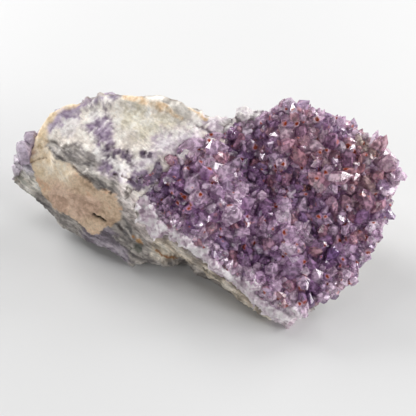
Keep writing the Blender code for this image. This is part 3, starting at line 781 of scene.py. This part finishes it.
def scatterPoints(root, look, allowed):
    # places for the points on the root: named large ones, then usual ones, then small ones in the gaps
    chance = random.Random(look["seed"])
    tree = BVHTree.FromObject(root, bpy.context.evaluated_depsgraph_get())
    faces = [f for f in root.data.polygons if allowed(f.center / mm, f.normal)]
    weights = [f.area for f in faces]
    found, cells = [], {}
    cellSize = 7                          # mm, wider than the gap between two of the largest points

    def settle(place, normal, radius, share):
        cell = tuple(int(c // cellSize) for c in place)
        around = [p for dx in (-1, 0, 1) for dy in (-1, 0, 1) for dz in (-1, 0, 1)
                  for p in cells.get((cell[0] + dx, cell[1] + dy, cell[2] + dz), ())]
        if all((place - other).length > (radius + size) * look["spacing"] for other, size in around):
            cells.setdefault(cell, []).append((place, radius))
            found.append((place, normal, radius, share))

    for x, y, z, radius, share in look["large"]:
        place, normal = tree.find_nearest(Vector((x, y, z)) * mm)[:2]
        settle(Vector((x, y, z)).lerp(place / mm, look["seated"]), normal, radius, share)
    for lowest, highest, usual, tries in look["sizes"]:
        for face in chance.choices(faces, weights=weights, k=tries):
            place, radius = face.center / mm, chance.triangular(lowest, highest, usual)
            if look["rim"]:
                least, more = look["rimGap"]
                if sideOf(look["rim"], place.x, place.y) > -least - radius * more:
                    continue
                large = radius > look["flankRadius"]
                if large and sideOf(look["flank"], place.x, place.y) > -radius * look["flankGap"]:
                    continue
            settle(place, face.normal.copy(), radius, None)
    return found


def blend(first, second, share):
    share = min(1.0, max(0.0, share))
    return [a + (b - a) * share for a, b in zip(first, second)]


def pointTints(look, codes, place, share, chance):
    # the colours of one crystal at its foot, shoulder and tip; the foot darker as painted shade between the
    # points, the tip mostly paler as a painted highlight
    spot = np.array([place])
    named = share is not None
    if share is None:
        # paler on the pale patches and darker on the dark ones: partly the crystals' own tone, partly painted
        # light on the humps and painted shade in the valleys
        share = 0.5 + 0.5 * (patchMask(spot, look["pale"], 0)[0] - patchMask(spot, look["dark"], 0)[0])
        if look["rim"]:
            share += max(0.0, 1 + sideOf(look["rim"], place.x, place.y) / look["rimFade"])
            share += 0.35 * max(0.0, 1 + sideOf(look["flank"], place.x, place.y) / look["flankFade"])
        share += chance.gauss(0, 0.13)
    tones = [hexColour(code) for code in codes["tones"]]
    tone = chance.random() * (len(tones) - 1.001)
    colour = blend(tones[int(tone)], tones[int(tone) + 1], tone % 1)
    colour = blend(colour, hexColour(codes["pale"]), (share - 0.5) * 1.7)
    colour = blend(colour, hexColour(codes["dark"]), (0.5 - share) * 1.7)
    for x, y, z, radius, most, code in look["stained"]:
        colour = blend(colour, hexColour(code), patchMask(spot, ((x, y, z, radius),), 0)[0] * most)
    # a few are clear, some rusty and some deep violet, but none of the named ones
    clearShare, deepFrom = 0.03, 0.86
    everywhere, atPlaces = look["rustyShare"]
    rustyShare = everywhere + atPlaces * patchMask(spot, look["rusty"], 0)[0]
    rare = chance.random()
    if named:
        rare = 0.5
    if rare < clearShare:
        colour = blend(colour, hexColour(codes["clear"]), 0.8)
    elif rare > deepFrom:
        colour = blend(colour, hexColour(codes["deep"]), chance.uniform(0.2, 0.5))
    elif rare < clearShare + rustyShare:
        colour = blend(colour, hexColour(codes["rusty"]), 0.3 + 0.4 * (tone % 1))
    # the foot pulled towards the dark tone is painted shade between the points; the tip mostly pulled towards
    # the pale one is a painted highlight
    foot = blend(colour, hexColour(codes["dark"]), 0.25)
    tip = blend(colour, hexColour(codes["pale"]), chance.uniform(-0.3, 0.5))
    return foot, colour, tip


def addPoint(bm, chance, place, axis, radius, shoulder, stout, tints):
    # one crystal: a hexagonal prism drawn up to a point that sits a little off its middle
    tintLayer = bm.loops.layers.float_color["tint"]
    spin = Matrix.Rotation(chance.uniform(0, math.pi), 4, "Z")
    turn = axis.to_track_quat("Z", "Y").to_matrix().to_4x4() @ spin
    least, more = pointShape["foot"]
    depth = least + radius * more
    middle = place + axis * (shoulder - depth) / 2
    broad = chance.uniform(*pointShape["broad"])
    made = bmesh.ops.create_cone(
        bm, cap_ends=True, cap_tris=False, segments=6,
        radius1=radius * pointShape["taper"] * mm, radius2=radius * mm, depth=(shoulder + depth) * mm,
        matrix=Matrix.Translation(middle * mm) @ turn @ Matrix.Diagonal((broad, 1 / broad, 1, 1)))
    for vert in made["verts"]:
        # three of the six sides are wide and three narrow, as quartz mostly grows
        away = vert.co - middle * mm
        flat = turn.to_3x3().transposed() @ away
        corner = round(math.atan2(flat.y, flat.x) / math.radians(60))
        away.rotate(Matrix.Rotation(pointShape["twist"] * (1 if corner % 2 else -1), 3, axis))
        vert.co = middle * mm + away
    faces = {f for v in made["verts"] for f in v.link_faces}
    top = max((f for f in faces if len(f.verts) == 6), key=lambda f: f.calc_center_median().dot(axis))
    shoulderVerts = set(top.verts)
    height = radius * math.cos(math.pi / 6) / math.tan(pointShape["angle"])
    height = height * stout * chance.uniform(*pointShape["tall"])
    apex = bmesh.ops.poke(bm, faces=[top], offset=height * mm)["verts"][0]
    offX, offY = [chance.gauss(0, spread) for spread in pointShape["offMiddle"]]
    sideways = turn.to_3x3() @ Vector((offX, offY, 0)) * radius
    apex.co += sideways * mm
    for vert in [apex] + made["verts"]:
        colour = tints[0]
        if vert is apex:
            colour = tints[2]
        elif vert in shoulderVerts:
            colour = tints[1]
        for loop in vert.link_loops:
            loop[tintLayer] = colour


def pointCluster(name, look, codes, places, seed):
    # crystals made a few dozen at a time, then joined: bmesh slows down as it grows
    chance = random.Random(seed)
    batch = 40
    parts = []
    for first in range(0, len(places), batch):
        bm = bmesh.new()
        bm.loops.layers.float_color.new("tint")
        for place, normal, radius, share in places[first:first + batch]:
            tilt = Vector([chance.gauss(0, look["lean"]) for _ in range(3)])
            upright = look["upright"] if share is None else look["largeUpright"]
            axis = (normal + tilt + Vector((0, 0, upright))).normalized()
            usual = chance.choice(pointShape["shoulders"]) * chance.uniform(*pointShape["shoulderRange"])
            shoulder = radius * (usual if share is None else pointShape["largeShoulder"])
            tints = pointTints(look, codes, place, share, chance)
            addPoint(bm, chance, place, axis, radius, shoulder, look["stout"], tints)
        mesh = bpy.data.meshes.new(name)
        bm.to_mesh(mesh)
        bm.free()
        parts.append(addObject(name, mesh))
    with bpy.context.temp_override(active_object=parts[0], selected_editable_objects=parts):
        bpy.ops.object.join()
    return parts[0]


def makePoints(root, name, look, codes, allowed):
    # all the points of a crust, those that overlap joined in one solid
    places = scatterPoints(root, look, allowed)
    points = pointCluster(name, look, codes, places[0::2], look["seed"] + 1)
    others = pointCluster(name + "Others", look, codes, places[1::2], look["seed"] + 2)
    modifier = points.modifiers.new("Union", "BOOLEAN")
    modifier.operation = "UNION"
    modifier.use_self = True
    modifier.object = others
    applyModifiers(points)
    bpy.data.objects.remove(others)
    print(name, len(places), "points,", len(points.data.polygons), "faces")
    return points


def rootMaterial(grainSize, fibreSize):
    # massive milky quartz at the foot of the points: white to lavender, fibrous where it is broken
    material, tree = newMaterial("milkyQuartzRoot")
    tint, banded, grain, fibres = stonePattern(tree, druseLook["faces"], grainSize, fibreSize)
    grain = addNode(tree, "ShaderNodeMix", {0: banded, 2: grain, 3: fibres}).outputs[0]
    shade = addNode(tree, "ShaderNodeMapRange", {0: grain, 1: 0.32, 2: 0.68, 3: 0.7, 4: 1.2}).outputs[0]
    speckled = addNode(tree, "ShaderNodeVectorMath", {0: tint, "Scale": shade}, operation="SCALE").outputs[0]
    bumpDepth = 0.15 * mm
    bump = addNode(tree, "ShaderNodeBump", {"Strength": 0.6, "Distance": bumpDepth, "Height": grain})
    shader = addNode(tree, "ShaderNodeBsdfPrincipled", {
        "Base Color": speckled, "Roughness": 0.42, "IOR": 1.54, "Normal": bump.outputs[0],
    })
    addNode(tree, "ShaderNodeOutputMaterial", {"Surface": shader.outputs[0]})
    return material


def amethystMaterial(name, finish):
    # amethyst: clear quartz stained violet, cloudy inside; growth faces are smooth and glassy
    material, tree = newMaterial(name)
    objectPlace = addNode(tree, "ShaderNodeTexCoord").outputs["Object"]
    tint = addNode(tree, "ShaderNodeAttribute", attribute_name="tint").outputs["Color"]
    cloudSize, veilSize, bumpDepth = 1.3 * mm, 1.6 * mm, 0.08 * mm
    cloudy = addNode(tree, "ShaderNodeTexNoise", {
        "Vector": objectPlace, "Scale": 1 / cloudSize, "Detail": 3.0, "Roughness": 0.6,
    }).outputs["Fac"]
    shade = addNode(tree, "ShaderNodeMapRange", {0: cloudy, 1: 0.3, 2: 0.7, 3: 0.85, 4: 1.24}).outputs[0]
    colour = addNode(tree, "ShaderNodeVectorMath", {0: tint, "Scale": shade}, operation="SCALE").outputs[0]
    opaque = 0.0
    if finish["rust"]:
        # iron oxide flecks of about 1 mm just under the faces, in three out of four cells of 3.3 mm
        cellSize, ragSize, ragBy = 3.3 * mm, 0.8 * mm, 1.3 * mm
        warp = addNode(tree, "ShaderNodeTexNoise", {"Vector": objectPlace, "Scale": 1 / ragSize}).outputs
        warped = addNode(tree, "ShaderNodeVectorMath", {0: warp["Color"], 1: (ragBy,) * 3, 2: objectPlace},
                         operation="MULTIPLY_ADD").outputs[0]
        flecks = addNode(tree, "ShaderNodeTexVoronoi", {"Vector": warped, "Scale": 1 / cellSize}).outputs
        dice = addNode(tree, "ShaderNodeSeparateColor", {0: flecks["Color"]}).outputs
        chosen = addNode(tree, "ShaderNodeMath", {0: dice[0], 1: 0.25}, operation="GREATER_THAN").outputs[0]
        size = addNode(tree, "ShaderNodeMapRange", {0: dice[1], 3: 0.6, 4: 1.4}).outputs[0]
        away = addNode(tree, "ShaderNodeMath", {0: flecks["Distance"], 1: size}, operation="DIVIDE")
        spots = []
        for code, outer, inner in zip(finish["rust"], (0.28, 0.17), (0.14, 0.11)):
            spot = addNode(tree, "ShaderNodeMapRange", {0: away.outputs[0], 1: outer, 2: inner})
            spot = addNode(tree, "ShaderNodeMath", {0: spot.outputs[0], 1: chosen}, operation="MULTIPLY")
            spots.append(spot.outputs[0])
            colour = addNode(tree, "ShaderNodeMix", {0: spots[-1], 6: colour, 7: hexColour(code)},
                             data_type="RGBA").outputs[2]
        opaque = spots[0]
    veils = addNode(tree, "ShaderNodeTexNoise", {
        "Vector": objectPlace, "Scale": 1 / veilSize, "Detail": 1.0,
    }).outputs["Fac"]
    cloud, glass = finish["glassy"]
    clear = addNode(tree, "ShaderNodeMapRange", {0: veils, 1: 0.38, 2: 0.6, 3: cloud, 4: glass}).outputs[0]
    clear = addNode(tree, "ShaderNodeMath", {0: clear, 1: opaque}, operation="SUBTRACT", use_clamp=True)
    bump = addNode(tree, "ShaderNodeBump", {"Strength": 0.15, "Distance": bumpDepth, "Height": cloudy})
    shader = addNode(tree, "ShaderNodeBsdfPrincipled", {
        "Base Color": colour, "Roughness": finish["roughness"], "IOR": 1.544,
        "Transmission Weight": clear.outputs[0], "Normal": bump.outputs[0],
    })
    volume = addNode(tree, "ShaderNodeVolumeAbsorption", {
        "Color": hexColour(finish["absorb"]), "Density": finish["density"],
    })
    addNode(tree, "ShaderNodeOutputMaterial", {"Surface": shader.outputs[0], "Volume": volume.outputs[0]})
    return material


def druseRim(place, normal):
    # the crust's broken edges: the front left rim, the right flank below its points, and its underside
    onTop, onFace = druseLook["rimDepth"]
    if normal.z < -0.25:
        return 1.0
    if sideOf(druseLook["rim"], place.x, place.y) > -(onFace if normal.z < 0.45 else onTop):
        return 1.0
    nearFlank = sideOf(druseLook["flank"], place.x, place.y) > -druseLook["flankDepth"]
    return 1.0 if normal.z < 0.3 and nearFlank else 0.0


def druseStands(place, normal):
    # the upper part of the rim carries small points too
    steep = normal.z < 0.35 or sideOf(druseLook["rim"], place.x, place.y) > -0.2
    if normal.z < -0.1 or (druseRim(place, normal) and steep):
        return False
    return all((place - Vector(spot[:3])).length > spot[3] for spot in druseLook["bare"])


druseRoot = makeRoot("amethyst_druse", "druseRoot", druseLook, druseRim, druseTint)
milkyQuartz = rootMaterial(grainSize=0.8, fibreSize=0.7)
druseRoot.data.materials.append(milkyQuartz)
drusePoints = makePoints(druseRoot, "drusePoints", druseLook, amethystCodes, druseStands)
drusePoints.data.materials.append(amethystMaterial("amethyst", amethystFinish))
for piece in (druseRoot, drusePoints):
    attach(piece, "root")
    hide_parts("amethyst_druse")

# The back crust: fewer, larger and paler points

backLook = {
    "voxel": 0.7,
    "smoothing": 22,
    "faces": (-0.4, 0.7, 0.5),
    "sink": 0.8,
    "splinterDepth": 0.42,
    "seed": 8,
    "sizes": ((1.8, 3.8, 2.6, 1500), (0.8, 1.5, 1.1, 1500)),
    "spacing": 0.64,
    "lean": 0.16,
    "upright": 0.15,
    "stout": 0.62,
    "seated": 0.5,
    "largeUpright": 1.3,
    "large": ((-33.4, 27.2, 44.4, 3.6, 0.4), (-40.2, 26.4, 42.2, 2.0, -0.1), (-42.4, 26.0, 41.6, 1.7, 0.0),
              (-38.4, 27.2, 42.6, 1.5, 0.0), (-61.6, 17.0, 30.4, 3.4, 0.75), (-60.0, 20.8, 32.2, 2.7, 0.6),
              (-62.4, 15.0, 28.2, 2.7, 1.0), (-63.6, 15.8, 26.0, 2.2, 1.3), (-37.6, 29.0, 41.4, 2.6, 0.5),
              (-65.0, 15.0, 23.2, 2.2, 1.3)),
    "pale": ((-60, 18, 27, 14), (-45, 28, 38, 8), (-30, 28, 40, 8)),
    "dark": ((-42, 28, 41, 4),),
    "rusty": (),
    "rustyShare": (0, 0),
    "stained": (),
    "rim": (),                            # no broken rim on plan
    "lowest": 13.5,                       # no points below this height
    "leftEnd": -52,                       # nor, to the left of this, below the next
    "lowestLeft": 31.0,
    "greyBelow": 32,                      # the broken edge turns grey over 8 mm below this
}
backCodes = {
    "tones": ("#a28ca8", "#b8a3ba", "#ccbacc", "#dccedc"),
    "pale": "#ece2ec",
    "dark": "#67496e",
    "clear": "#f2eef2",
    "deep": "#9c86b4",
    "root": ("#a896ab", "#c8b9c9", "#ded4dd"),
    "brokenEdge": ("#a3a09a", "#c4c2bd"),
}
paleFinish = {
    "absorb": "#c8b4d4",
    "density": 90.0,
    "glassy": (0.15, 0.5),
    "roughness": 0.25,
    "rust": (),
}


def backRim(place, normal):
    return 0.0 if normal.dot(Vector(backLook["faces"])) > 0.1 else 1.0


def backTint(places, rim, medium, fine, streaks):
    grain = medium * 0.5 + fine * 0.7
    low = smoothStep(backLook["greyBelow"] - places[:, 2], 0, 8)
    return paintOver(gradient(grain, backCodes["root"]), rim * low, gradient(grain, backCodes["brokenEdge"]))


def backStands(place, normal):
    lowest = backLook["lowestLeft"] if place.x < backLook["leftEnd"] else backLook["lowest"]
    return backRim(place, normal) == 0.0 and place.z > lowest


backRoot = makeRoot("amethyst_back_crust", "backRoot", backLook, backRim, backTint)
backRoot.data.materials.append(milkyQuartz)
backPoints = makePoints(backRoot, "backPoints", backLook, backCodes, backStands)
backPoints.data.materials.append(amethystMaterial("paleAmethyst", paleFinish))
for piece in (backRoot, backPoints):
    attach(piece, "root")
    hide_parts("amethyst_back_crust")


# Floor, light and camera

studio = {
    "paper": "#d5d5d5",
    "air": "#f4f4f4",
    "airStrength": 0.04,
    "elevation": 50,                      # degrees: the photograph looks along +Y from above
    "distance": 267,                      # mm from the target
    "target": (0, 0, 20),
    "lens": 70,
    "sensor": 36,
    # each light's name, place and width in m, and watts; all of them point at the middle
    "lights": (
        ("backLeftKey", (-0.52, 0.46, 0.38), 0.34, 4.65),
        ("backRightKey", (0.57, 0.46, 0.38), 0.34, 3.55),
        ("rightFill", (0.72, 0.04, 0.38), 0.34, 2.9),
        ("frontRightFill", (0.62, -0.34, 0.40), 0.34, 2.65),
        ("frontLeftFill", (-0.62, -0.30, 0.38), 0.34, 1.05),
        ("frontFill", (0.06, -0.76, 0.24), 0.30, 0.5),
        ("topFill", (-0.25, 0.15, 0.42), 0.25, 0.5),
        ("highGlint", (-0.08, -0.06, 0.55), 0.06, 0.12),
    ),
}


def makeFloor():
    # matt white paper, just below the stone's resting face
    bm = bmesh.new()
    bmesh.ops.create_grid(bm, x_segments=1, y_segments=1, size=3.0)
    bmesh.ops.translate(bm, vec=(0, 0, -0.02 * mm), verts=bm.verts)
    mesh = bpy.data.meshes.new("floor")
    bm.to_mesh(mesh)
    bm.free()
    floor = addObject("floor", mesh)
    material, tree = newMaterial("mattWhitePaper")
    shader = addNode(tree, "ShaderNodeBsdfPrincipled", {
        "Base Color": hexColour(studio["paper"]), "Roughness": 0.9,
    })
    addNode(tree, "ShaderNodeOutputMaterial", {"Surface": shader.outputs[0]})
    mesh.materials.append(material)


def addLight(name, place, size, watts):
    light = bpy.data.lights.new(name, "AREA")
    light.shape = "DISK"
    light.size = size
    light.energy = watts
    lamp = addObject(name, light)
    lamp.location = place
    lamp.rotation_euler = (-Vector(place)).to_track_quat("-Z", "Y").to_euler()


def makeCamera():
    elevation = math.radians(studio["elevation"])
    data = bpy.data.cameras.new("camera")
    data.lens = studio["lens"]
    data.sensor_width = studio["sensor"]
    data.clip_start = 0.01
    camera = addObject("camera", data)
    away = Vector((0, -math.cos(elevation), math.sin(elevation)))
    camera.location = Vector(studio["target"]) * mm + away * (studio["distance"] * mm)
    camera.rotation_euler = (-away).to_track_quat("-Z", "Y").to_euler()
    bpy.context.scene.camera = camera


def makeWorld():
    world = bpy.data.worlds.new("studio")
    world.use_nodes = True
    air = world.node_tree.nodes["Background"]
    air.inputs["Color"].default_value = hexColour(studio["air"])
    air.inputs["Strength"].default_value = studio["airStrength"]
    bpy.context.scene.world = world
    bpy.context.scene.view_settings.view_transform = "Standard"


makeFloor()
for light in studio["lights"]:
    addLight(*light)
makeCamera()
makeWorld()
print("stage set")
